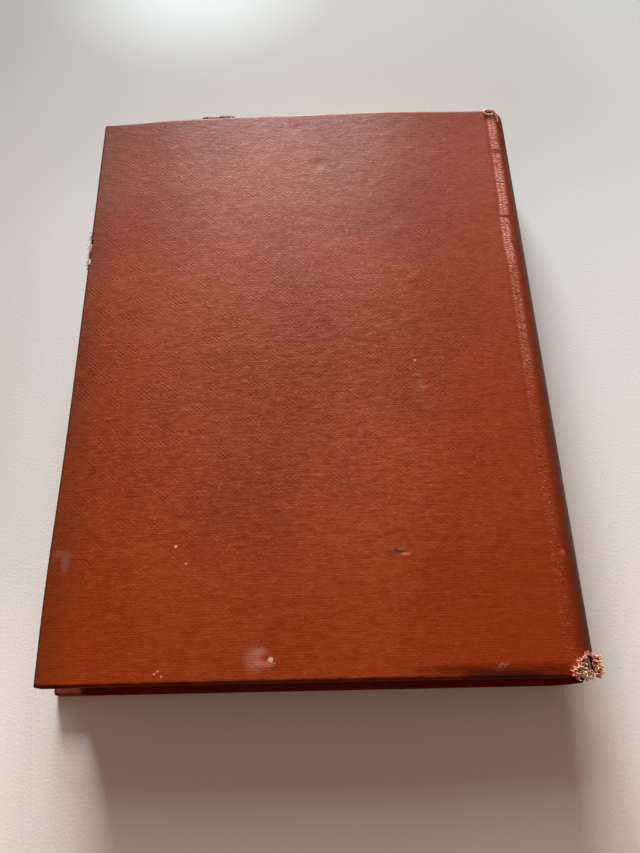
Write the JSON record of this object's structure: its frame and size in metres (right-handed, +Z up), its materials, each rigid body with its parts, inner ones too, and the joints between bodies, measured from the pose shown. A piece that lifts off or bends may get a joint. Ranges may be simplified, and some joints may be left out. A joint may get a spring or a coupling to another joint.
{
  "type": "pocket dictionary",
  "caption": "Small worn cloth case-bound pocket dictionary lying closed, with hinged covers, a round spine and a frayed tail cap.",
  "frame": {"origin": "bottom centre of the closed book, on the surface that it lies on", "axes": "+Y from the tail to the head, +X from the fore-edge to the spine, +Z up from the front cover to the back cover"},
  "size_m": [0.1135, 0.148, 0.0177],
  "materials": {
    "cloth": "satin",
    "board": "matte",
    "endpaper": "matte",
    "paper": "matte",
    "lining": "matte",
    "mull": "matte"
  },
  "bodies": {
    "text_block": {"pages": "paper", "mull": "mull", "paper_lining": "lining", "spine_inlay": "board", "spine_cloth": "cloth"},
    "back_cover": {"back_cover_cloth": "cloth", "back_board": "board", "back_pastedown": "endpaper"},
    "front_cover": {"front_cover_cloth": "cloth", "front_board": "board", "front_pastedown": "endpaper"}
  },
  "joints": [
    {"name": "back_cover_hinge", "type": "hinge", "parent": "text_block", "child": "back_cover", "pos_m": [0.04913, 0, 0.0166], "axis": [0, 1, 0], "range_deg": [0, 180]},
    {"name": "front_cover_hinge", "type": "hinge", "parent": "text_block", "child": "front_cover", "pos_m": [0.04798, 0, 0], "axis": [0, -1, 0], "range_deg": [0, 180]}
  ]
}
